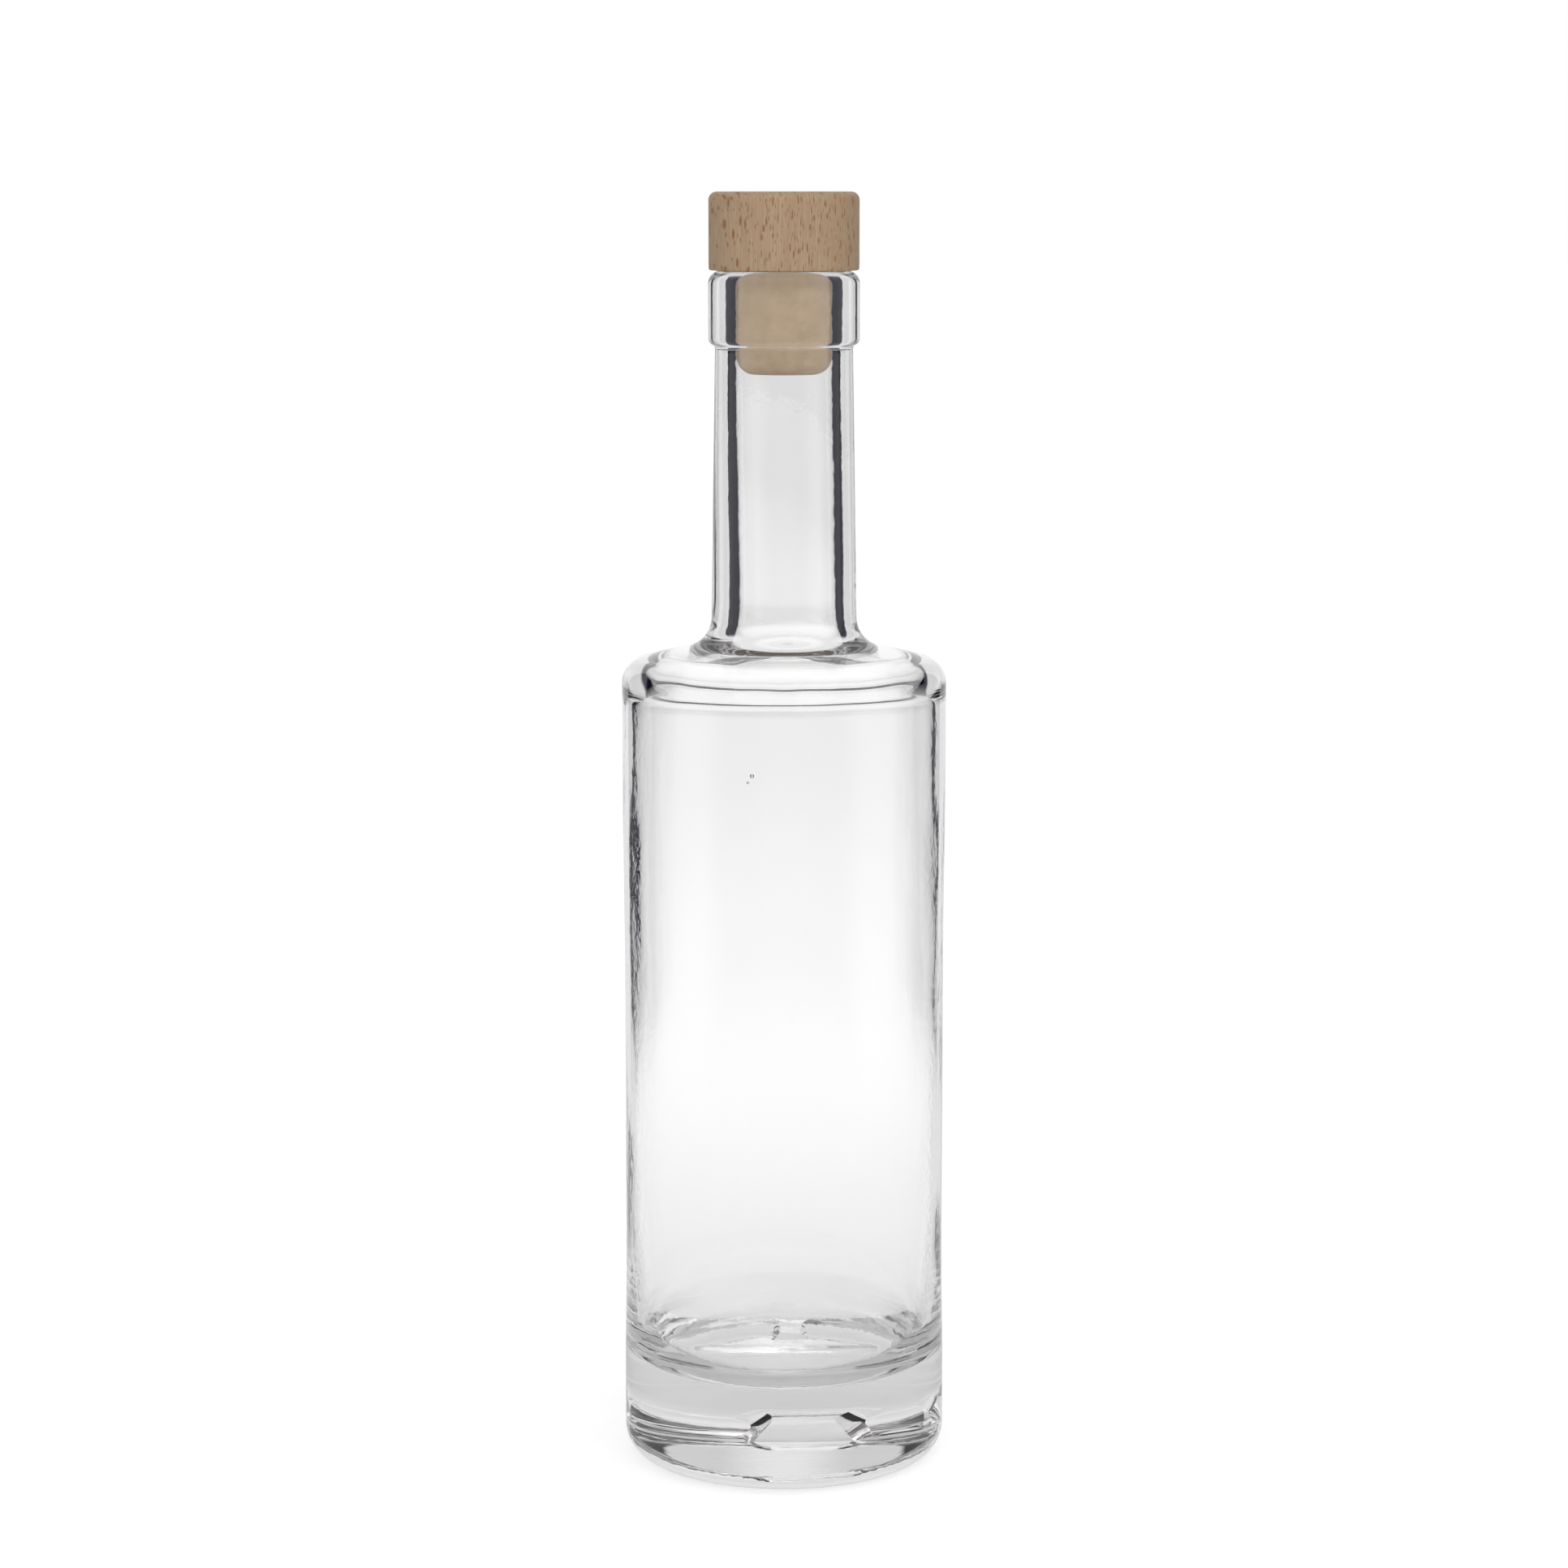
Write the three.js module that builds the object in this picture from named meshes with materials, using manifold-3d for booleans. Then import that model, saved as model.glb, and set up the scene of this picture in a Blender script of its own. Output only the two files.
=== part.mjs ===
// A 350 ml class bottle of clear blown glass with a bar-top stopper: a turned beech head
// glued on a synthetic shank that is pushed into the neck. Millimetres, +Z up, and the
// origin is the middle of the ring that the bottle stands on.

import * as THREE from 'three';
import { mergeVertices } from 'three/addons/utils/BufferGeometryUtils.js';
import Module from 'manifold-3d';

// Bottle, outside
const RIM_HEIGHT = 233.3;
const BODY_RADIUS = 31.5;
const LABEL_PANEL_INSET = 0.28;
const LABEL_PANEL_LOW = 40;
const LABEL_PANEL_HIGH = 96;
const LABEL_PANEL_LOW_RAMP = 22;
const LABEL_PANEL_HIGH_RAMP = 42;
const SHOULDER_SLOPE = THREE.MathUtils.degToRad(13.8);
const SHOULDER_HEIGHT = 162.1;
const SHOULDER_CORNER = 4.8;
const NECK_ROOT_FILLET = 6;
const FINISH_STEP = 1.3;
const FINISH_BAND = 12.8;
const FINISH_TOP_EDGE = 2.4;
const FINISH_LOW_EDGE = 1.5;
const FINISH_LOW_FILLET = 0.9;
const HEEL_RADIUS = 6;
const BEARING_WIDTH = 2;
const PUSH_UP = 2;

// Bottle, inside
const BORE_RADIUS = 18.5 / 2;
const NECK_TOP_WALL = 4.05;
const NECK_ROOT_WALL = 4.85;
const RIM_INNER_EDGE = 0.8;
const WALL = 3.1;
const ROOF_THICKNESS = 4.4;
const ROOF_CORNER = 5;
const BORE_FLARE = 5.5;
const BASE_THICKNESS = 19;
const FLOOR_FILLET = 10.4;

// Locating notch across the standing ring, at the back
const NOTCH_WIDTH = 9;
const NOTCH_REACH = 9.5;
const NOTCH_HEIGHT = 4.2;
const NOTCH_DRAFT = 2.1;
const NOTCH_OFFSET = 1.5;

// Stopper
const HEAD_RADIUS = 14.45;
const HEAD_HEIGHT = 14.9;
const HEAD_TOP_EDGE = 1;
const HEAD_LOW_EDGE = 0.4;
const SHANK_LENGTH = 19.6;
const SHANK_END_EDGE = 3.5;
const SPIGOT_SHOULDER = 2.65;
const SPIGOT_LENGTH = 7;
const SPIGOT_LEAD = 0.6;

// Clearances
const SEAT_GAP = 0.1;
const SHANK_CLEARANCE = 0.1;
const GLUE_FILM = 0.15;
const CUT_OVERRUN = 1;

const ROUND_STEPS = 60;
const DEG = Math.PI / 180;

const neckRootRadius = BORE_RADIUS + NECK_ROOT_WALL;
const neckTopRadius = BORE_RADIUS + NECK_TOP_WALL;
const finishRadius = neckTopRadius + FINISH_STEP;
const shankRadius = BORE_RADIUS - SHANK_CLEARANCE;
const spigotRadius = shankRadius - SPIGOT_SHOULDER;

const wasm = await Module();
wasm.setup();

// Points of an arc about (r, z), from one angle to another, with 0 pointing away from the axis.
function arc(r, z, radius, fromDeg, toDeg, steps) {
  return Array.from({ length: steps + 1 }, (_, i) => {
    const angle = (fromDeg + ((toDeg - fromDeg) * i) / steps) * DEG;
    return [r + radius * Math.cos(angle), z + radius * Math.sin(angle)];
  });
}

// A turned body. The profile runs from the axis, counter-clockwise, back to the axis.
function turned(profile) {
  const points = profile.map(([r, z]) => new THREE.Vector2(Math.max(r, 0), z));
  return new THREE.LatheGeometry(points, ROUND_STEPS).rotateX(Math.PI / 2);
}

function toSolid(geometry) {
  const bare = geometry.clone();
  bare.deleteAttribute('normal');
  bare.deleteAttribute('uv');
  const merged = mergeVertices(bare);
  const corners = Array.from(merged.index.array);
  const triangles = [];
  for (let i = 0; i < corners.length; i += 3) {
    const [a, b, c] = corners.slice(i, i + 3);
    if (a !== b && b !== c && c !== a) triangles.push(a, b, c);
  }
  return new wasm.Manifold(new wasm.Mesh({
    numProp: 3,
    vertProperties: new Float32Array(merged.attributes.position.array),
    triVerts: new Uint32Array(triangles),
  }));
}

function toGeometry(solid) {
  const mesh = solid.getMesh();
  const geometry = new THREE.BufferGeometry();
  geometry.setAttribute('position', new THREE.BufferAttribute(mesh.vertProperties, 3));
  geometry.setIndex(new THREE.BufferAttribute(mesh.triVerts, 1));
  geometry.computeVertexNormals();
  return geometry;
}

// The underside is a shallow dome, which leaves a flat ring for the bottle to stand on.
function undersideProfile() {
  const bearingOuter = BODY_RADIUS - HEEL_RADIUS;
  const bearingInner = bearingOuter - BEARING_WIDTH;
  const domeSteps = 4;
  const dome = Array.from({ length: domeSteps + 1 }, (_, i) => {
    const share = i / domeSteps;
    return [bearingInner * share, PUSH_UP * (1 - share * share)];
  });
  return [...dome, ...arc(bearingOuter, HEEL_RADIUS, HEEL_RADIUS, -90, 0, 6)];
}

// The wall is a little slimmer where a label goes, with long soft ramps above and below.
function labelPanelProfile() {
  const rampSteps = 4;
  const ramp = (fromZ, toZ, fromInset, toInset) => (
    Array.from({ length: rampSteps + 1 }, (_, i) => {
      const share = i / rampSteps;
      const inset = THREE.MathUtils.lerp(fromInset, toInset, THREE.MathUtils.smoothstep(share, 0, 1));
      return [BODY_RADIUS - inset, THREE.MathUtils.lerp(fromZ, toZ, share)];
    })
  );
  return [
    ...ramp(LABEL_PANEL_LOW - LABEL_PANEL_LOW_RAMP, LABEL_PANEL_LOW, 0, LABEL_PANEL_INSET),
    ...ramp(LABEL_PANEL_HIGH, LABEL_PANEL_HIGH + LABEL_PANEL_HIGH_RAMP, LABEL_PANEL_INSET, 0),
  ];
}

// Height on the shoulder's cone at a radius, and the same under the glass.
const coneApex = SHOULDER_HEIGHT + neckRootRadius * Math.tan(SHOULDER_SLOPE);
const roofApex = coneApex - ROOF_THICKNESS;
const coneNormalDeg = 90 - SHOULDER_SLOPE / DEG;

// Centre height of an arc that touches a cone from above (+1) or from below (-1).
function touching(apex, centreRadius, radius, side) {
  return apex - centreRadius * Math.tan(SHOULDER_SLOPE) + (side * radius) / Math.cos(SHOULDER_SLOPE);
}

function shoulderProfile() {
  const cornerRadius = BODY_RADIUS - SHOULDER_CORNER;
  const rootRadius = neckRootRadius + NECK_ROOT_FILLET;
  return [
    ...arc(cornerRadius, touching(coneApex, cornerRadius, SHOULDER_CORNER, -1),
      SHOULDER_CORNER, 0, coneNormalDeg, 5),
    ...arc(rootRadius, touching(coneApex, rootRadius, NECK_ROOT_FILLET, 1),
      NECK_ROOT_FILLET, 180 + coneNormalDeg, 180, 6),
  ];
}

// The finish is the ring round the mouth: a soft step out from the neck, a band and a rim.
function finishProfile() {
  const stepRadii = FINISH_LOW_EDGE + FINISH_LOW_FILLET;
  const turnDeg = Math.acos(1 - FINISH_STEP / stepRadii) / DEG;
  const bandFoot = RIM_HEIGHT - FINISH_BAND;
  const neckTop = bandFoot - stepRadii * Math.sin(turnDeg * DEG);
  return [
    ...arc(neckTopRadius + FINISH_LOW_FILLET, neckTop, FINISH_LOW_FILLET, 180, 180 - turnDeg, 2),
    ...arc(finishRadius - FINISH_LOW_EDGE, bandFoot, FINISH_LOW_EDGE, -turnDeg, 0, 4).slice(1),
    ...arc(finishRadius - FINISH_TOP_EDGE, RIM_HEIGHT - FINISH_TOP_EDGE, FINISH_TOP_EDGE, 0, 90, 5),
    ...arc(BORE_RADIUS + RIM_INNER_EDGE, RIM_HEIGHT - RIM_INNER_EDGE, RIM_INNER_EDGE, 90, 180, 3),
  ];
}

function insideProfile() {
  const innerRadius = BODY_RADIUS - WALL;
  const flareRadius = BORE_RADIUS + BORE_FLARE;
  const cornerRadius = innerRadius - ROOF_CORNER;
  return [
    ...arc(flareRadius, touching(roofApex, flareRadius, BORE_FLARE, 1),
      BORE_FLARE, 180, 180 + coneNormalDeg, 5),
    ...arc(cornerRadius, touching(roofApex, cornerRadius, ROOF_CORNER, -1),
      ROOF_CORNER, coneNormalDeg, 0, 5),
    ...arc(innerRadius - FLOOR_FILLET, BASE_THICKNESS + FLOOR_FILLET, FLOOR_FILLET, 0, -90, 7),
    [0, BASE_THICKNESS],
  ];
}

// The notch turns the bottle to its place on a decorating line. It runs in from the heel across
// the standing ring, and its walls close in towards the top, as a moulded notch's do.
function notchCutter() {
  const cutter = new THREE.BoxGeometry(2, 2, 2);
  const corners = cutter.attributes.position;
  for (let i = 0; i < corners.count; i += 1) {
    const z = corners.getZ(i) > 0 ? NOTCH_HEIGHT : -CUT_OVERRUN;
    const inset = (NOTCH_DRAFT * z) / NOTCH_HEIGHT;
    const x = NOTCH_OFFSET + corners.getX(i) * (NOTCH_WIDTH / 2 - inset);
    const y = corners.getY(i) > 0 ? BODY_RADIUS + CUT_OVERRUN : BODY_RADIUS - NOTCH_REACH + inset;
    corners.setXYZ(i, x, y, z);
  }
  return cutter;
}

function bottleGeometry() {
  const blown = turned([
    ...undersideProfile(),
    ...labelPanelProfile(),
    ...shoulderProfile(),
    ...finishProfile(),
    ...insideProfile(),
  ]);
  return toGeometry(toSolid(blown).subtract(toSolid(notchCutter())));
}

const seatHeight = RIM_HEIGHT + SEAT_GAP;
const headTop = seatHeight + HEAD_HEIGHT;

// The head is turned, with a blind hole in its underside for the shank's spigot.
function headGeometry() {
  const holeRadius = spigotRadius + GLUE_FILM;
  const holeTop = seatHeight + SPIGOT_LENGTH + GLUE_FILM;
  return turned([
    [0, holeTop],
    [holeRadius, holeTop],
    [holeRadius, seatHeight],
    ...arc(HEAD_RADIUS - HEAD_LOW_EDGE, seatHeight + HEAD_LOW_EDGE, HEAD_LOW_EDGE, -90, 0, 2),
    ...arc(HEAD_RADIUS - HEAD_TOP_EDGE, headTop - HEAD_TOP_EDGE, HEAD_TOP_EDGE, 0, 90, 4),
    [0, headTop],
  ]);
}

// The shank is moulded: a plug that fills the bore, and a spigot that is glued up into the head.
function shankGeometry() {
  const shankFoot = seatHeight - SHANK_LENGTH;
  const shankTop = seatHeight - GLUE_FILM;
  const spigotTop = seatHeight + SPIGOT_LENGTH;
  return turned([
    [0, shankFoot],
    ...arc(shankRadius - SHANK_END_EDGE, shankFoot + SHANK_END_EDGE, SHANK_END_EDGE, -90, 0, 5),
    [shankRadius, shankTop],
    [spigotRadius, shankTop],
    [spigotRadius, spigotTop - SPIGOT_LEAD],
    [spigotRadius - SPIGOT_LEAD, spigotTop],
    [0, spigotTop],
  ]);
}

function named(name, geometry, material) {
  const mesh = new THREE.Mesh(geometry, material);
  mesh.name = name;
  return mesh;
}

const glass = new THREE.MeshStandardMaterial({
  color: 0xe9efee,
  roughness: 0.03,
  metalness: 0,
  transparent: true,
  opacity: 0.35,
});
const beech = new THREE.MeshStandardMaterial({ color: 0xc49a6c, roughness: 0.55, metalness: 0 });
const shankPolymer = new THREE.MeshStandardMaterial({ color: 0xb9a98c, roughness: 0.6, metalness: 0 });

const model = new THREE.Group();
model.add(named('bottle', bottleGeometry(), glass));
model.add(named('wooden_head', headGeometry(), beech));
model.add(named('stopper_shank', shankGeometry(), shankPolymer));

export default model;
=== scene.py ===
import math

import bmesh
import bpy
from mathutils import Matrix, Vector


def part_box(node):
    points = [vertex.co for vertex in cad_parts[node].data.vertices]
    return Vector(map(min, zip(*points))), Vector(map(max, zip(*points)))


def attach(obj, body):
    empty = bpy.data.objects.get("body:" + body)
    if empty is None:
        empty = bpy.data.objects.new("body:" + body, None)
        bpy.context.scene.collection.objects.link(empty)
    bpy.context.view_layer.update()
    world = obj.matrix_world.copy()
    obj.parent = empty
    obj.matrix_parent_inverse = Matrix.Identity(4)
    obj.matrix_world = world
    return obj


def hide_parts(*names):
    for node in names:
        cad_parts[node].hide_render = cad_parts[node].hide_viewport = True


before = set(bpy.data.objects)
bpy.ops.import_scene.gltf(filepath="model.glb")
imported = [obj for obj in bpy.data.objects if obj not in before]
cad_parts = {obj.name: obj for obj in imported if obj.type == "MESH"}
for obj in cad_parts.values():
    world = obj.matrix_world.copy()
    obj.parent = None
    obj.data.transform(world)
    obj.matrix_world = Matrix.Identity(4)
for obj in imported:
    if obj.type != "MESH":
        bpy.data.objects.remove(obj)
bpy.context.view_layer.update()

# The bottle is one piece of clear flint glass, blown in a mould: the outside takes the mould's
# true form, and the inside is a little uneven, because air formed it. The base is heavy, and a
# small notch across its foot, at the back, turns the bottle to its place on a decorating line.

MM = 0.001
bottle_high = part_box("bottle")[1]
body_radius = bottle_high[0]
rim_height = bottle_high[2]
bore = 9.25 * MM
neck_top = bore + 4.05 * MM
neck_root = bore + 4.85 * MM
finish_step = 1.3 * MM
finish_radius = neck_top + finish_step
finish_low_edge = 1.5 * MM
finish_low_fillet = 0.9 * MM
top_edge = 2.4 * MM
rim_inner_edge = 0.8 * MM
slope_deg = 13.8
slope = math.radians(slope_deg)
cone_end = 162.1 * MM
cone_apex = cone_end + neck_root * math.tan(slope)
roof_apex = cone_apex - 2.4 * MM


def arc(r, z, radius, from_deg, to_deg, steps):
    """Points of an arc about (r, z), where 0 degrees points away from the axis."""
    angles = [math.radians(from_deg + (to_deg - from_deg) * i / steps) for i in range(steps + 1)]
    return [(r + radius * math.cos(a), z + radius * math.sin(a)) for a in angles]


def straight(start, end, steps):
    """Points between two ends, without the ends."""
    shares = [i / steps for i in range(1, steps)]
    return [(start[0] + (end[0] - start[0]) * s, start[1] + (end[1] - start[1]) * s) for s in shares]


def smooth(share):
    return share * share * (3 - 2 * share)


def touching(apex, centre_r, radius, side):
    """Centre height of an arc that touches a cone from above (1) or from below (-1)."""
    return apex - centre_r * math.tan(slope) + side * radius / math.cos(slope)


def outer_glass():
    """The outline from the middle of the underside up to the inner edge of the rim."""
    heel = 6 * MM
    bearing_outer = body_radius - heel
    bearing_inner = bearing_outer - 2 * MM
    push_up = 2 * MM
    dome = [(bearing_inner * i / 24, push_up * (1 - (i / 24) ** 2)) for i in range(24)]
    ring = [(bearing_inner + 0.05 * MM, 0), (bearing_outer - 0.05 * MM, 0)]
    panel_inset = 0.28 * MM
    low_start = 18 * MM
    low_run = 22 * MM
    high_start = 96 * MM
    high_run = 42 * MM
    shares = [i / 8 for i in range(9)]
    low_ramp = [(body_radius - panel_inset * smooth(s), low_start + low_run * s) for s in shares]
    high_ramp = [(body_radius - panel_inset * smooth(1 - s), high_start + high_run * s) for s in shares]
    corner = 4.8 * MM
    root = 6 * MM
    corner_r = body_radius - corner
    corner_z = touching(cone_apex, corner_r, corner, -1)
    root_r = neck_root + root
    root_z = touching(cone_apex, root_r, root, 1)
    step_radii = finish_low_edge + finish_low_fillet
    turn = math.degrees(math.acos(1 - finish_step / step_radii))
    band_foot = rim_height - 12.8 * MM
    neck_end = band_foot - step_radii * math.sin(math.radians(turn))
    return (
        dome
        + ring
        + arc(bearing_outer, heel, heel, -90, 0, 36)
        + low_ramp
        + high_ramp
        + arc(corner_r, corner_z, corner, 0, 90 - slope_deg, 14)
        + arc(root_r, root_z, root, 270 - slope_deg, 180, 16)
        + arc(neck_top + finish_low_fillet, neck_end, finish_low_fillet, 180, 180 - turn, 5)
        + arc(finish_radius - finish_low_edge, band_foot, finish_low_edge, -turn, 0, 9)[1:]
        + arc(finish_radius - top_edge, rim_height - top_edge, top_edge, 0, 90, 12)
        + arc(bore + rim_inner_edge, rim_height - rim_inner_edge, rim_inner_edge, 90, 180, 7)
    )


def inner_glass():
    """The outline of the hollow, from the top of the bore down to the middle of the floor."""
    corner = 8 * MM
    fillet = 10.4 * MM
    floor = 19 * MM
    inner = body_radius - 3.1 * MM
    thinned = 0.8 * MM
    lead = 30 * MM
    lead_deg = 12
    flare = 6 * MM
    bore_top = (bore, rim_height - rim_inner_edge)
    across = (lead - flare) * math.cos(math.radians(lead_deg))
    rise = (lead - flare) * math.sin(math.radians(lead_deg))
    flare_r = bore + lead - across
    flare_z = touching(roof_apex, flare_r, flare, 1)
    leading = arc(bore + lead, flare_z + rise, lead, 180, 180 + lead_deg, 12)
    flaring = leading[:-1] + arc(flare_r, flare_z, flare, 180 + lead_deg, 270 - slope_deg, 14)
    corner_r = inner - corner
    corner_z = touching(roof_apex, corner_r, corner, -1)
    rounding = arc(corner_r, corner_z, corner, 90 - slope_deg, 0, 14)
    filling = arc(inner - fillet, floor + fillet, fillet, 0, -90, 18)
    wall_top = rounding[-1][1]
    wall_run = wall_top - filling[0][1]

    def thinner(z):
        return thinned * math.sin(math.pi * (wall_top - z) / wall_run) ** 0.7

    return (
        straight(bore_top, flaring[0], 56)
        + flaring
        + straight(flaring[-1], rounding[0], 8)
        + rounding
        + [(r + thinner(z), z) for r, z in straight(rounding[-1], filling[0], 80)]
        + filling
        + straight(filling[-1], (0, floor), 10)
        + [(0, floor)]
    )


def profile_mesh(name, points, ripples=None, leans=None):
    """A string of loose points, which the turning tree reads in order."""
    mesh = bpy.data.meshes.new(name)
    mesh.from_pydata([(r, 0, z) for r, z in points], [], [])
    for title, values in (("ripple", ripples), ("lean", leans)):
        layer = mesh.attributes.new(title, "FLOAT", "POINT")
        layer.data.foreach_set("value", values or [0.0] * len(points))
    return mesh


def add_node(tree, kind, values=None, **settings):
    """Adds a node, sets its fields, and fills or links its inputs by name or number."""
    node = tree.nodes.new(kind)
    for field, value in settings.items():
        setattr(node, field, value)
    for socket, value in (values or {}).items():
        if isinstance(value, bpy.types.NodeSocket):
            tree.links.new(value, node.inputs[socket])
        else:
            node.inputs[socket].default_value = value
    return node


def maths(tree, operation, *values):
    return add_node(tree, "ShaderNodeMath", dict(enumerate(values)), operation=operation).outputs[0]


def turning_tree():
    """Turns a string of points about Z. Ripples and a lean of the hollow follow its attributes."""
    tree = bpy.data.node_groups.new("turn a profile", "GeometryNodeTree")
    face = tree.interface
    face.new_socket("Geometry", in_out="OUTPUT", socket_type="NodeSocketGeometry")
    face.new_socket("Profile", in_out="INPUT", socket_type="NodeSocketGeometry")
    for title, kind, value in (
        ("Steps", "NodeSocketInt", 96),
        ("Ripple width", "NodeSocketFloat", 0.012),
        ("Ripple length", "NodeSocketFloat", 0.03),
        ("Ripple seed", "NodeSocketFloat", 3.0),
        ("Finish", "NodeSocketMaterial", None),
    ):
        socket = face.new_socket(title, in_out="INPUT", socket_type=kind)
        if value is not None:
            socket.default_value = value
    given = add_node(tree, "NodeGroupInput").outputs
    counted = add_node(tree, "GeometryNodeAttributeDomainSize", {"Geometry": given["Profile"]})
    columns = maths(tree, "ADD", given["Steps"], 1.0)
    grid = add_node(tree, "GeometryNodeMeshGrid", {
        "Size X": 1.0, "Size Y": 1.0,
        "Vertices X": counted.outputs["Point Count"], "Vertices Y": columns,
    })
    index = add_node(tree, "GeometryNodeInputIndex").outputs[0]
    row = maths(tree, "FLOOR", maths(tree, "DIVIDE", maths(tree, "ADD", index, 0.5), columns))
    place_in_row = maths(tree, "SUBTRACT", index, maths(tree, "MULTIPLY", row, columns))
    column = maths(tree, "MODULO", place_in_row, given["Steps"])
    turn = maths(tree, "MULTIPLY", maths(tree, "DIVIDE", column, given["Steps"]), math.tau)

    def sampled(field, kind):
        values = {"Geometry": given["Profile"], "Value": field, "Index": row}
        node = add_node(tree, "GeometryNodeSampleIndex", values, data_type=kind, domain="POINT")
        return node.outputs["Value"]

    def attribute(title):
        node = add_node(tree, "GeometryNodeInputNamedAttribute", {"Name": title}, data_type="FLOAT")
        return sampled(node.outputs["Attribute"], "FLOAT")

    place = sampled(add_node(tree, "GeometryNodeInputPosition").outputs[0], "FLOAT_VECTOR")
    parts = add_node(tree, "ShaderNodeSeparateXYZ", {0: place}).outputs
    across = maths(tree, "COSINE", turn)
    along = maths(tree, "SINE", turn)
    wide = maths(tree, "DIVIDE", 1.0, given["Ripple width"])
    long = maths(tree, "DIVIDE", 1.0, given["Ripple length"])
    spot = add_node(tree, "ShaderNodeCombineXYZ", {
        0: maths(tree, "MULTIPLY", maths(tree, "MULTIPLY", parts[0], across), wide),
        1: maths(tree, "MULTIPLY", maths(tree, "MULTIPLY", parts[0], along), wide),
        2: maths(tree, "MULTIPLY", parts[2], long),
    }).outputs[0]
    swirl = add_node(tree, "ShaderNodeTexNoise", {
        "Vector": spot, "W": given["Ripple seed"], "Scale": 1.0, "Detail": 1.5, "Roughness": 0.45,
    }, noise_dimensions="4D").outputs[0]
    swell = maths(tree, "MULTIPLY", maths(tree, "SUBTRACT", swirl, 0.5), attribute("ripple"))
    radius = maths(tree, "ADD", parts[0], swell)
    turned_place = add_node(tree, "ShaderNodeCombineXYZ", {
        0: maths(tree, "ADD", maths(tree, "MULTIPLY", radius, across), attribute("lean")),
        1: maths(tree, "MULTIPLY", radius, along),
        2: parts[2],
    }).outputs[0]
    placed = add_node(tree, "GeometryNodeSetPosition", {
        "Geometry": grid.outputs["Mesh"], "Position": turned_place,
    })
    merged = add_node(tree, "GeometryNodeMergeByDistance", {
        "Geometry": placed.outputs[0], "Distance": 1e-7,
    })
    smoothed = add_node(tree, "GeometryNodeSetShadeSmooth", {"Geometry": merged.outputs[0]})
    real = add_node(tree, "GeometryNodeRealizeInstances", {"Geometry": smoothed.outputs[0]})
    finished = add_node(tree, "GeometryNodeSetMaterial", {
        "Geometry": real.outputs[0], "Material": given["Finish"],
    })
    add_node(tree, "NodeGroupOutput", {0: finished.outputs[0]})
    return tree


turning = turning_tree()


def to_scene(mesh, name):
    piece = bpy.data.objects.new(name, mesh)
    bpy.context.scene.collection.objects.link(piece)
    return piece


def turned(name, mesh, finish, **sizes):
    """A finished plain mesh, turned from a profile by the tree."""
    source = to_scene(mesh, name + "_profile")
    modifier = source.modifiers.new("turn", "NODES")
    modifier.node_group = turning
    settings = dict(sizes, Finish=finish)
    for item in turning.interface.items_tree:
        if item.in_out == "INPUT" and item.name in settings:
            modifier[item.identifier] = settings[item.name]
    shape = source.evaluated_get(bpy.context.evaluated_depsgraph_get())
    solid = bpy.data.meshes.new_from_object(shape)
    bpy.data.objects.remove(source)
    solid.name = name
    solid.materials.clear()
    solid.materials.append(finish)
    solid.polygons.foreach_set("material_index", [0] * len(solid.polygons))
    for title in ("ripple", "lean"):
        if title in solid.attributes:
            solid.attributes.remove(solid.attributes[title])
    return to_scene(solid, name)


def blank_material(name):
    material = bpy.data.materials.new(name)
    material.use_nodes = True
    tree = material.node_tree
    return material, tree, tree.nodes["Principled BSDF"]


def scaled_place(tree, scale):
    place = add_node(tree, "ShaderNodeTexCoord").outputs["Object"]
    return add_node(tree, "ShaderNodeMapping", {"Vector": place, "Scale": scale}).outputs[0]


def noise(tree, place, detail, roughness=0.5):
    values = {"Vector": place, "Scale": 1.0, "Detail": detail, "Roughness": roughness}
    return add_node(tree, "ShaderNodeTexNoise", values).outputs[0]


def bumped(tree, **values):
    return add_node(tree, "ShaderNodeBump", values).outputs[0]


def parts_of(tree, kind):
    """The three parts of a place on the piece, or of a direction in the world."""
    place = add_node(tree, "ShaderNodeTexCoord").outputs[kind]
    return add_node(tree, "ShaderNodeSeparateXYZ", {0: place}).outputs


def from_axis(tree, place):
    squares = [maths(tree, "MULTIPLY", part, part) for part in (place[0], place[1])]
    return maths(tree, "SQRT", maths(tree, "ADD", *squares))


def product(tree, first, *others):
    for other in others:
        first = maths(tree, "MULTIPLY", first, other)
    return first


def over(tree, value, limit):
    return maths(tree, "GREATER_THAN", value, limit)


def under(tree, value, limit):
    return maths(tree, "LESS_THAN", value, limit)


def blown_side(tree):
    """1 on the wall of the hollow and 0 elsewhere. The grain of the blown side is only there."""
    neck_foot = 163 * MM
    neck_wall = 11.2 * MM
    body_foot = 17 * MM
    body_top = 150 * MM
    body_wall = 30 * MM
    place = parts_of(tree, "Object")
    height = place[2]
    far = from_axis(tree, place)
    in_neck = product(tree, over(tree, height, neck_foot), under(tree, far, neck_wall))
    body_heights = product(tree, over(tree, height, body_foot), under(tree, height, body_top))
    in_body = product(tree, body_heights, under(tree, far, body_wall))
    return maths(tree, "ADD", in_neck, in_body)


def cast_base(tree):
    """1 under the base and on its heel, less on the hollow's floor, and 0 elsewhere."""
    heel_top = 4.5 * MM
    floor_foot = 17 * MM
    floor_top = 28 * MM
    floor_edge = 29.5 * MM
    floor_share = 0.35
    place = parts_of(tree, "Object")
    height = place[2]
    floor_heights = product(tree, over(tree, height, floor_foot), under(tree, height, floor_top))
    in_hollow = under(tree, from_axis(tree, place), floor_edge)
    on_floor = product(tree, floor_heights, in_hollow, floor_share)
    return maths(tree, "ADD", under(tree, height, heel_top), on_floor)


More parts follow.
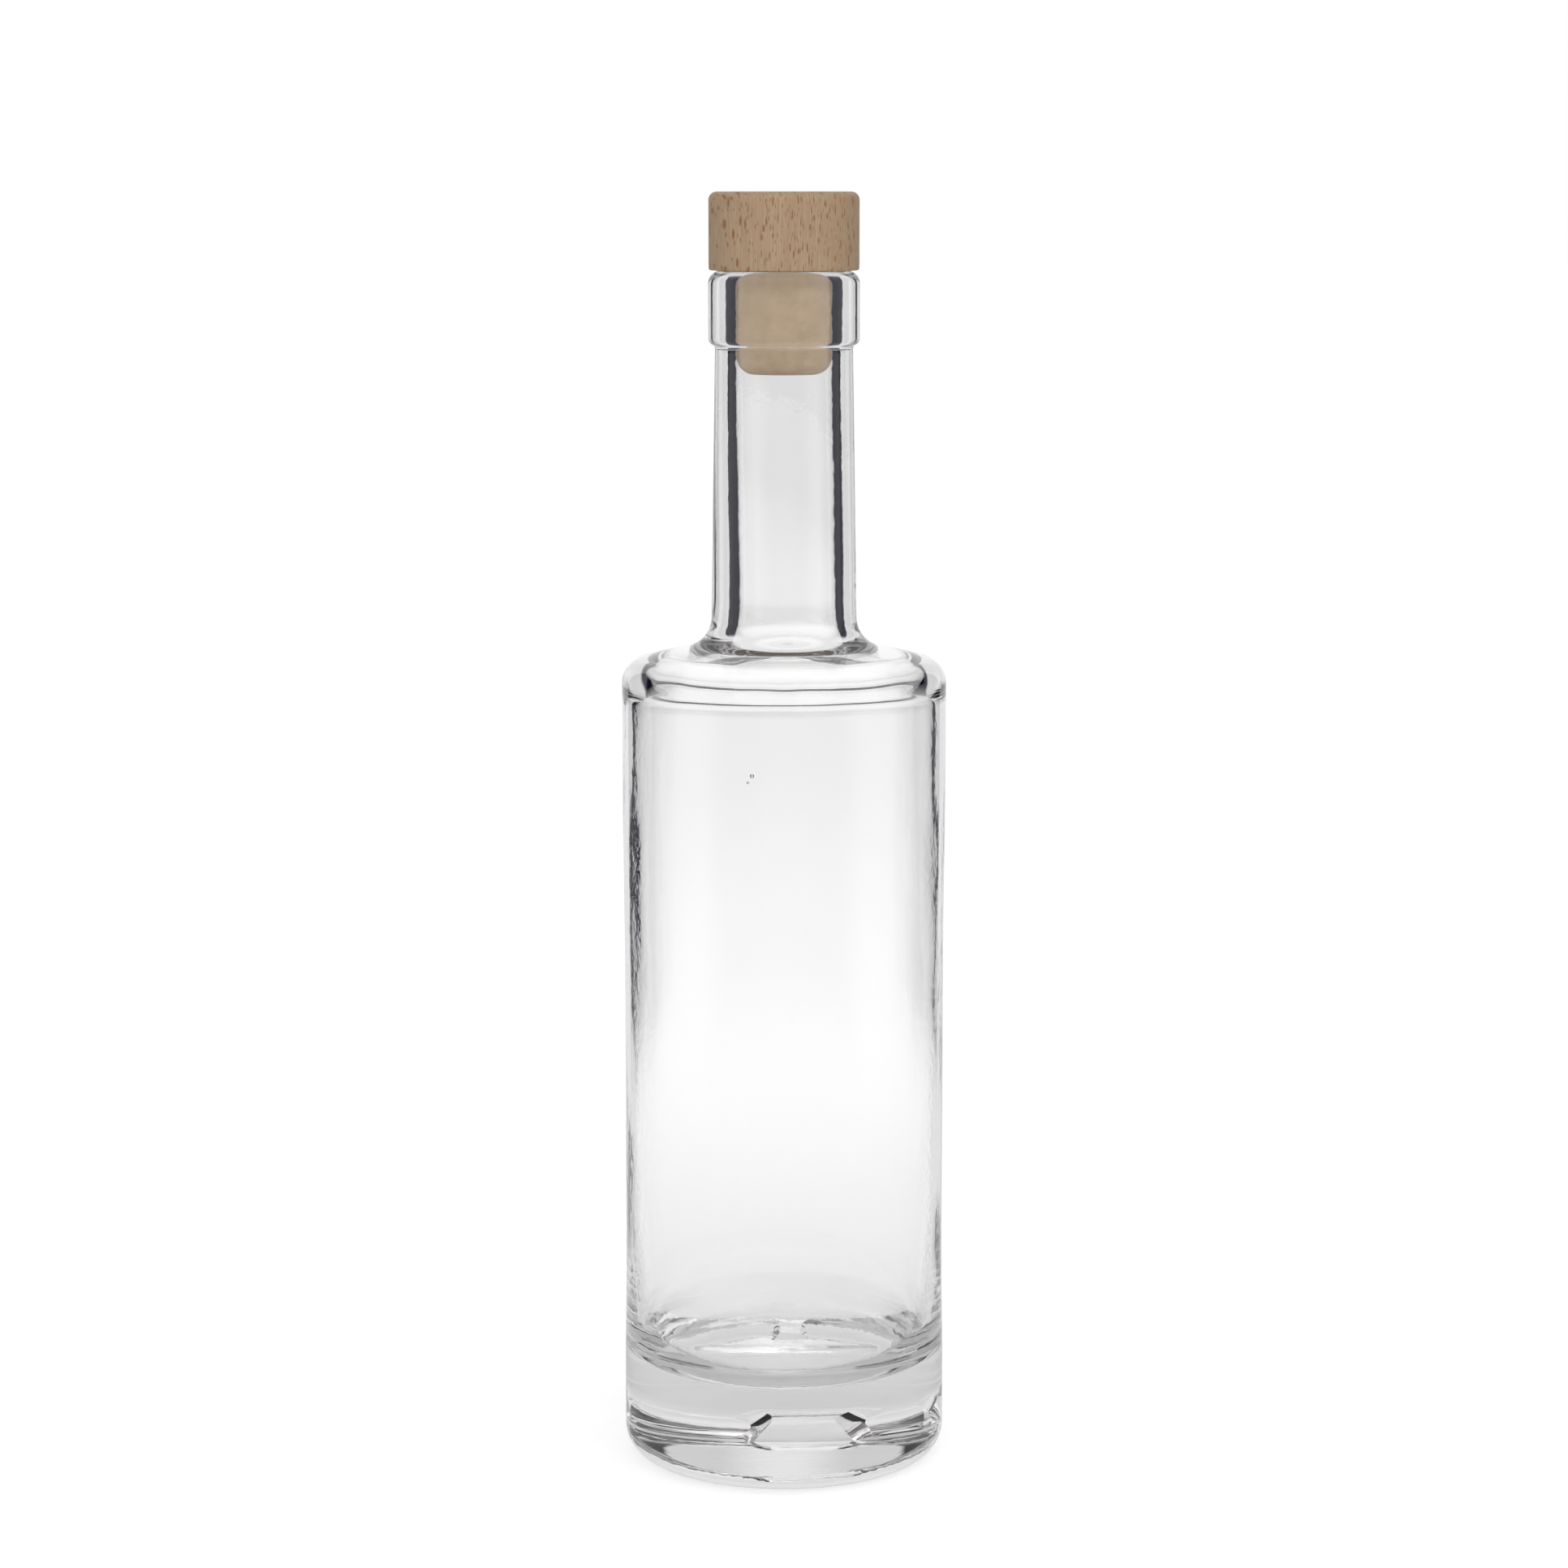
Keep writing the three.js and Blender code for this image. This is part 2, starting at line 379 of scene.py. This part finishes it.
def clear_glass():
    """Flint glass: clear, with a faint grey of its own and the soft unevenness of a fire finish."""
    material, tree, glass = blank_material("clear_glass")
    glass.inputs["Base Color"].default_value = (1, 1, 1, 1)
    glass.inputs["Roughness"].default_value = 0.0
    glass.inputs["IOR"].default_value = 1.52
    glass.inputs["Transmission Weight"].default_value = 1.0
    swirl = noise(tree, scaled_place(tree, (90, 90, 35)), detail=2.0)
    grain = noise(tree, scaled_place(tree, (700, 700, 500)), detail=2.0)
    waves = noise(tree, scaled_place(tree, (170, 170, 320)), detail=2.5)
    soft = bumped(tree, Height=swirl, Strength=0.5, Distance=0.04 * MM)
    blown = bumped(tree, Height=grain, Strength=blown_side(tree), Distance=0.02 * MM, Normal=soft)
    wavy = bumped(tree, Height=waves, Strength=cast_base(tree), Distance=0.12 * MM, Normal=blown)
    tree.links.new(wavy, glass.inputs["Normal"])
    shadow = add_node(tree, "ShaderNodeLightPath").outputs["Is Shadow Ray"]
    clear = add_node(tree, "ShaderNodeBsdfTransparent", {"Color": (0.93, 0.935, 0.93, 1)})
    mix = add_node(tree, "ShaderNodeMixShader", {0: shadow, 1: glass.outputs[0], 2: clear.outputs[0]})
    output = tree.nodes["Material Output"]
    tree.links.new(mix.outputs[0], output.inputs["Surface"])
    tint = {"Color": (0.56, 0.545, 0.552, 1), "Density": 8.0}
    depth = add_node(tree, "ShaderNodeVolumeAbsorption", tint)
    tree.links.new(depth.outputs[0], output.inputs["Volume"])
    return material


outside = outer_glass()
inside = inner_glass()


def softly(value, low, high):
    """0 at the low end and 1 at the high end, with a soft change between."""
    return smooth(min(max((value - low) / (high - low), 0), 1))


def body_to_neck(z, in_body, in_neck):
    """A size of the hollow's unevenness. A plunger formed the mouth, so there it is 0."""
    shoulder = (148 * MM, 170 * MM)
    mouth = (174 * MM, 214 * MM)
    blown = 1 - softly(z, *mouth)
    return blown * (in_body + (in_neck - in_body) * softly(z, *shoulder))


inner_ripples = [body_to_neck(z, 0.4 * MM, 0.3 * MM) for r, z in inside]
floor_middle = [r < 12 * MM and z < 20 * MM for r, z in inside]
inner_ripples = [0.0 if flat else size for size, flat in zip(inner_ripples, floor_middle)]
inner_leans = [body_to_neck(z, 0.1 * MM, 0.4 * MM) for r, z in inside]
glass_mesh = profile_mesh(
    "bottle_profile",
    outside + inside,
    [0.0] * len(outside) + inner_ripples,
    [0.0] * len(outside) + inner_leans,
)
bottle = turned("glass_bottle", glass_mesh, clear_glass(), Steps=240)


def notch_cutter(finish):
    """A drafted bar that runs out from under the base, with a flared outer end."""
    foot = -1 * MM
    height = 4.2 * MM
    draft = 2.1 * MM
    half_width = 4.5 * MM
    offset = 1.5 * MM
    inner_end = body_radius - 9.5 * MM
    ease = 1.5 * MM
    flare_start = body_radius - 2.3 * MM
    sliver = 0.01 * MM
    stations = [inner_end - draft * -foot / height, inner_end + draft, flare_start - 0.1 * MM]
    stations += [flare_start + ease * math.sin(math.radians(a)) for a in range(0, 81, 5)]
    points = []
    for number, y in enumerate(stations):
        along = max(y - flare_start, 0)
        flare = ease - math.sqrt(ease ** 2 - along ** 2)
        top = height + flare if number else foot + sliver
        half_top = half_width - draft + flare if number else half_width
        half_foot = half_width + draft * -foot / height + flare
        section = [(half_foot, foot), (half_top, top), (-half_top, top), (-half_foot, foot)]
        points += [(offset + x, y, z) for x, z in section]
    faces = [(0, 1, 2, 3), tuple(len(points) - i for i in (1, 2, 3, 4))]
    for row in range(0, len(points) - 4, 4):
        for i in range(4):
            j = (i + 1) % 4
            faces.append((row + j, row + i, row + 4 + i, row + 4 + j))
    mesh = bpy.data.meshes.new("notch_cutter")
    mesh.from_pydata(points, [], faces)
    mesh.materials.append(finish)
    return to_scene(mesh, "notch_cutter")


def cut_notch(piece):
    cutter = notch_cutter(piece.data.materials[0])
    cut = piece.modifiers.new("notch", "BOOLEAN")
    cut.operation = "DIFFERENCE"
    cut.solver = "EXACT"
    cut.object = cutter
    shape = piece.evaluated_get(bpy.context.evaluated_depsgraph_get())
    finished = bpy.data.meshes.new_from_object(shape)
    piece.modifiers.clear()
    piece.data = finished
    bpy.data.objects.remove(cutter)
    finished.set_sharp_from_angle(angle=math.radians(50))


def add_seeds(piece):
    """Two seed bubbles in the front wall: small closed hollows in the glass."""
    shell = bmesh.new()
    shell.from_mesh(piece.data)
    for x, y, z, radius in ((-5.9, -29.55, 139.9, 0.4), (-6.7, -29.4, 138.6, 0.24)):
        place = Matrix.Translation(Vector((x, y, z)) * MM)
        seed = bmesh.ops.create_icosphere(shell, subdivisions=3, radius=radius * MM, matrix=place)
        walls = list({wall for corner in seed["verts"] for wall in corner.link_faces})
        bmesh.ops.reverse_faces(shell, faces=walls)
        for wall in walls:
            wall.smooth = True
    shell.to_mesh(piece.data)
    shell.free()


cut_notch(bottle)
add_seeds(bottle)
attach(bottle, "bottle")
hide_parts("bottle")

# The shank is a plug moulded from a fine-celled beige polymer. It is squeezed into the bore, and
# its spigot is glued up into the head.

shank_low, shank_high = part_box("stopper_shank")
head_low, head_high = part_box("wooden_head")
seat = head_low[2]
spigot = shank_high[0] - 2.65 * MM
glue = 0.15 * MM


def cellular_polymer():
    material, tree, plastic = blank_material("shank_polymer")
    mottle = noise(tree, scaled_place(tree, (260, 260, 260)), detail=3.0, roughness=0.6)
    ramp = add_node(tree, "ShaderNodeValToRGB", {0: mottle})
    ramp.color_ramp.elements[0].position = 0.3
    ramp.color_ramp.elements[0].color = (0.465, 0.34, 0.219, 1)
    ramp.color_ramp.elements[1].position = 0.72
    ramp.color_ramp.elements[1].color = (0.57, 0.434, 0.302, 1)
    tree.links.new(ramp.outputs[0], plastic.inputs["Base Color"])
    plastic.inputs["Roughness"].default_value = 0.6
    fine = scaled_place(tree, (2600, 2600, 2600))
    cells = add_node(tree, "ShaderNodeTexVoronoi", {"Vector": fine, "Scale": 1.0}).outputs["Distance"]
    bump = bumped(tree, Height=cells, Strength=0.3, Distance=0.06 * MM)
    tree.links.new(bump, plastic.inputs["Normal"])
    return material


def shank_profile():
    radius = shank_high[0]
    foot = shank_low[2]
    top = shank_high[2]
    end_edge = 3.5 * MM
    lead = 0.6 * MM
    shoulder = seat - glue
    return (
        [(0, foot)]
        + straight((0, foot), (radius - end_edge, foot), 5)
        + arc(radius - end_edge, foot + end_edge, end_edge, -90, 0, 16)
        + [(radius, shoulder), (spigot, shoulder)]
        + [(spigot, top - lead), (spigot - lead, top), (0, top)]
    )


shank_mesh = profile_mesh("shank_profile", shank_profile())
shank = turned("shank", shank_mesh, cellular_polymer(), Steps=128)
shank.data.set_sharp_from_angle(angle=math.radians(35))
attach(shank, "stopper")
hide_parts("stopper_shank")

# The head is turned from one piece of beech with its fibres along the stopper, so its top is end
# grain. It is sanded fine, its edges are eased, and a blind hole underneath takes the spigot.


def eased(tree, value, low, high):
    """0 below the low end and 1 above the high end, with a soft change between."""
    values = {"Value": value, "From Min": low, "From Max": high}
    return add_node(tree, "ShaderNodeMapRange", values, interpolation_type="SMOOTHSTEP").outputs[0]


def rest(tree, share):
    """What is left of 1."""
    return maths(tree, "SUBTRACT", 1.0, share)


def tinted(tree, share, base, colour):
    return add_node(tree, "ShaderNodeMix", {0: share, 6: base, 7: colour}, data_type="RGBA").outputs[2]


def beech():
    """Beech: fine fibres along Z, growth rings across, and rays that run out from the pith."""
    material, tree, wood = blank_material("beech")
    pith_turn = math.radians(-62)

    def stretched(radial, tangential, lengthwise, shift=0.0):
        """The place on the piece, stretched by sizes in millimetres."""
        place = add_node(tree, "ShaderNodeTexCoord").outputs["Object"]
        values = {
            "Vector": place,
            "Location": (shift, shift, shift),
            "Rotation": (0, 0, pith_turn),
            "Scale": (radial * MM, tangential * MM, lengthwise * MM),
        }
        return add_node(tree, "ShaderNodeMapping", values, vector_type="TEXTURE").outputs[0]

    def ray_flecks(place, size):
        cells = add_node(tree, "ShaderNodeTexVoronoi", {"Vector": place, "Scale": 1.0})
        return rest(tree, eased(tree, cells.outputs["Distance"], size * 0.55, size))

    fibres = noise(tree, stretched(0.3, 0.3, 7), detail=3.0, roughness=0.65)
    rings = noise(tree, stretched(1.6, 12, 60), detail=2.0)
    pores = noise(tree, stretched(0.1, 0.1, 1.6), detail=1.0)
    clouds = noise(tree, stretched(7, 7, 9), detail=1.0)
    open_pores = eased(tree, pores, 0.56, 0.7)
    fine_flecks = ray_flecks(stretched(2.2, 0.36, 2.2, shift=0.0113), 0.28)
    flecks = ray_flecks(stretched(4.2, 0.58, 4.2), 0.3)
    blotches = ray_flecks(stretched(6, 1.2, 3.5, shift=0.031), 0.24)
    streaked = maths(tree, "ADD", 0.55, product(tree, eased(tree, fibres, 0.35, 0.6), 0.45))
    brown = (0.32, 0.216, 0.132, 1)
    pale = (0.40, 0.286, 0.18, 1)
    colour = tinted(tree, eased(tree, fibres, 0.3, 0.7), brown, pale)
    for share, strength, darker in (
        (eased(tree, rings, 0.45, 0.7), 0.3, (0.32, 0.2, 0.11, 1)),
        (eased(tree, clouds, 0.4, 0.75), 0.22, (0.35, 0.21, 0.11, 1)),
        (open_pores, 0.3, (0.24, 0.15, 0.09, 1)),
        (fine_flecks, 0.75, (0.225, 0.105, 0.04, 1)),
        (product(tree, flecks, streaked), 0.9, (0.2, 0.08, 0.022, 1)),
        (product(tree, blotches, streaked), 0.8, (0.21, 0.085, 0.025, 1)),
    ):
        colour = tinted(tree, product(tree, share, strength), colour, darker)
    tree.links.new(colour, wood.inputs["Base Color"])
    wood.inputs["Roughness"].default_value = 0.55
    height = maths(tree, "SUBTRACT", fibres, product(tree, open_pores, 0.5))
    bump = bumped(tree, Height=height, Strength=0.35, Distance=0.08 * MM)
    tree.links.new(bump, wood.inputs["Normal"])
    return material


def head_profile():
    radius = head_high[0]
    top = head_high[2]
    top_ease = 1.6 * MM
    low_ease = 0.4 * MM
    hole = spigot + glue
    hole_top = shank_high[2] + glue
    return (
        [(0, hole_top), (hole, hole_top), (hole, seat)]
        + arc(radius - low_ease, seat + low_ease, low_ease, -90, 0, 6)
        + arc(radius - top_ease, top - top_ease, top_ease, 0, 90, 12)
        + straight((radius - top_ease, top), (0, top), 6)
        + [(0, top)]
    )


head_mesh = profile_mesh("head_profile", head_profile())
head = turned("beech_head", head_mesh, beech(), Steps=160)
head.data.set_sharp_from_angle(angle=math.radians(35))
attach(head, "stopper")
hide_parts("wooden_head")

# The bottle stands on a plain white sweep in a studio whose sides are painted dark. Only light
# that has been thrown back inside the glass finds those dark sides: they are painted dark reflections.

# The colour of the painted dark reflections in the glass.
painted_dark_tone = (0.004, 0.003, 0.014, 1)
world_level = 0.5
open_lift = 0.33
# near_lift: the glow seen through glass close to the bottle, kept low as a painted shadow.
near_lift = 0.15


def side_shade(tree, x, y, thrown):
    """For thrown rays: how much painted dark side they see, and the painted shade on the rest."""
    turn = maths(tree, "ABSOLUTE", maths(tree, "ARCTAN2", x, y))

    def beyond(degrees, soft):
        return eased(tree, turn, math.radians(degrees - soft), math.radians(degrees + soft))

    # Painted dark sides: dark sectors that only thrown rays see, as dark reflections in the glass.
    sides_end = product(tree, beyond(78, 3), 0.65)
    near_camera = product(tree, beyond(125, 8), 0.45)
    sides = maths(tree, "SUBTRACT", beyond(36, 2), sides_end)
    dark = maths(tree, "ADD", sides, near_camera)
    # Painted shade for thrown rays: away from straight back, everything else they see is dimmed.
    loss = product(tree, beyond(10, 8), 0.24)
    return product(tree, dark, thrown), product(tree, loss, thrown)


def light_paths(tree):
    """Switches: for rays thrown back, rays that only went through glass, and rough light."""
    path = add_node(tree, "ShaderNodeLightPath").outputs
    thrown = over(tree, path["Glossy Depth"], 0.5)
    through = product(tree, over(tree, path["Transmission Depth"], 0.5), rest(tree, thrown))
    return thrown, through, path["Is Diffuse Ray"]


def level_between(tree, switch, off, on):
    values = {"Value": switch, "To Min": off, "To Max": on}
    return add_node(tree, "ShaderNodeMapRange", values).outputs[0]


def studio_world():
    world = bpy.data.worlds.new("studio")
    world.use_nodes = True
    tree = world.node_tree
    background = tree.nodes["Background"]
    way = parts_of(tree, "Generated")
    thrown, through, diffuse = light_paths(tree)
    sides, loss = side_shade(tree, way[0], way[1], thrown)
    # Painted dark reflections: thrown rays see the dark tone at the sides, fading out upwards.
    dark = product(tree, sides, rest(tree, eased(tree, way[2], 0.35, 0.65)))
    # Painted shade: rays that only went through glass see the world darker near the horizon.
    horizon = rest(tree, eased(tree, way[2], 0.0, 0.25))
    painted_horizon_shade = product(tree, horizon, through, 0.16)
    seen = maths(tree, "SUBTRACT", rest(tree, painted_horizon_shade), loss)
    tree.links.new(tinted(tree, dark, (1, 1, 1, 1), painted_dark_tone), background.inputs["Color"])
    tree.links.new(level_between(tree, diffuse, seen, world_level), background.inputs["Strength"])
    bpy.context.scene.world = world


def sweep_paper():
    """White paper. Its own glow keeps it white; through glass it shows painted shade and dark sides."""
    material, tree, paper = blank_material("white_sweep")
    paper.inputs["Base Color"].default_value = (0.86, 0.86, 0.86, 1)
    paper.inputs["Roughness"].default_value = 0.9
    paper.inputs["Specular IOR Level"].default_value = 0.0
    place = parts_of(tree, "Object")
    far = from_axis(tree, place)
    thrown, through, diffuse = light_paths(tree)
    # Painted shade seen through glass: the glow is low near the bottle, a painted shadow, and falls far
    # off.
    rise = product(tree, eased(tree, far, 0.03, 0.42), 0.19)
    first_fall = product(tree, eased(tree, far, 0.5, 1.3), 0.1)
    far_fall = product(tree, eased(tree, far, 1.3, 3.0), 0.11)
    fall = maths(tree, "ADD", first_fall, far_fall)
    painted_shade_through_glass = maths(tree, "SUBTRACT", maths(tree, "ADD", near_lift, rise), fall)
    lift = level_between(tree, through, open_lift, painted_shade_through_glass)
    sides, loss = side_shade(tree, place[0], place[1], thrown)
    glow = add_node(tree, "ShaderNodeEmission", {"Strength": maths(tree, "SUBTRACT", lift, loss)})
    lit = add_node(tree, "ShaderNodeAddShader", {0: paper.outputs[0], 1: glow.outputs[0]})
    plain = add_node(tree, "ShaderNodeMixShader", {0: diffuse, 1: lit.outputs[0], 2: paper.outputs[0]})
    # Painted dark reflections: thrown rays see the paper's sides, away from the bottle, in the dark
    # tone.
    dark = product(tree, sides, eased(tree, far, 0.3, 0.5))
    painted_dark_reflection = add_node(tree, "ShaderNodeEmission", {"Color": painted_dark_tone, "Strength": 1.0})
    seen = add_node(tree, "ShaderNodeMixShader", {0: dark, 1: plain.outputs[0], 2: painted_dark_reflection.outputs[0]})
    tree.links.new(seen.outputs[0], tree.nodes["Material Output"].inputs["Surface"])
    return material


def sweep():
    reach = 12.0
    mesh = bpy.data.meshes.new("sweep")
    corners = [(-reach, -reach, 0), (reach, -reach, 0), (reach, reach, 0), (-reach, reach, 0)]
    mesh.from_pydata(corners, [], [(0, 1, 2, 3)])
    mesh.materials.append(sweep_paper())
    to_scene(mesh, "sweep")


studio_world()
sweep()


def soft_lamp(name, turn_deg, tilt_deg, spread_deg, level):
    """A wide soft lamp. Only the key isn't seen through glass: it would stand in the bore."""
    lamp = bpy.data.lights.new(name, "SUN")
    lamp.angle = math.radians(spread_deg)
    lamp.energy = level
    holder = bpy.data.objects.new(name, lamp)
    holder.location = (0, 0, 1)
    holder.rotation_euler = (math.radians(tilt_deg), 0, math.radians(turn_deg))
    holder.visible_glossy = False
    holder.visible_transmission = name != "key"
    bpy.context.scene.collection.objects.link(holder)


soft_lamp("key", turn_deg=-10, tilt_deg=72, spread_deg=50, level=1.35)
soft_lamp("fill", turn_deg=50, tilt_deg=55, spread_deg=70, level=0.5)
soft_lamp("top", turn_deg=0, tilt_deg=12, spread_deg=60, level=0.45)


def camera():
    """Stands in front, a little above the middle of the bottle, and looks slightly down."""
    lens = bpy.data.cameras.new("camera")
    lens.sensor_width = 36
    lens.lens = 93.28
    lens.shift_y = 0.00197
    holder = bpy.data.objects.new("camera", lens)
    holder.location = (0, -0.78387, 0.24985)
    holder.rotation_euler = (math.radians(90 - 8.453), 0, 0)
    bpy.context.scene.collection.objects.link(holder)
    bpy.context.scene.camera = holder


camera()
bpy.context.scene.view_settings.view_transform = "Standard"

# Light is thrown to and fro many times in thick glass before it leaves.
paths = bpy.context.scene.cycles
paths.max_bounces = 32
paths.glossy_bounces = 32
paths.transmission_bounces = 32
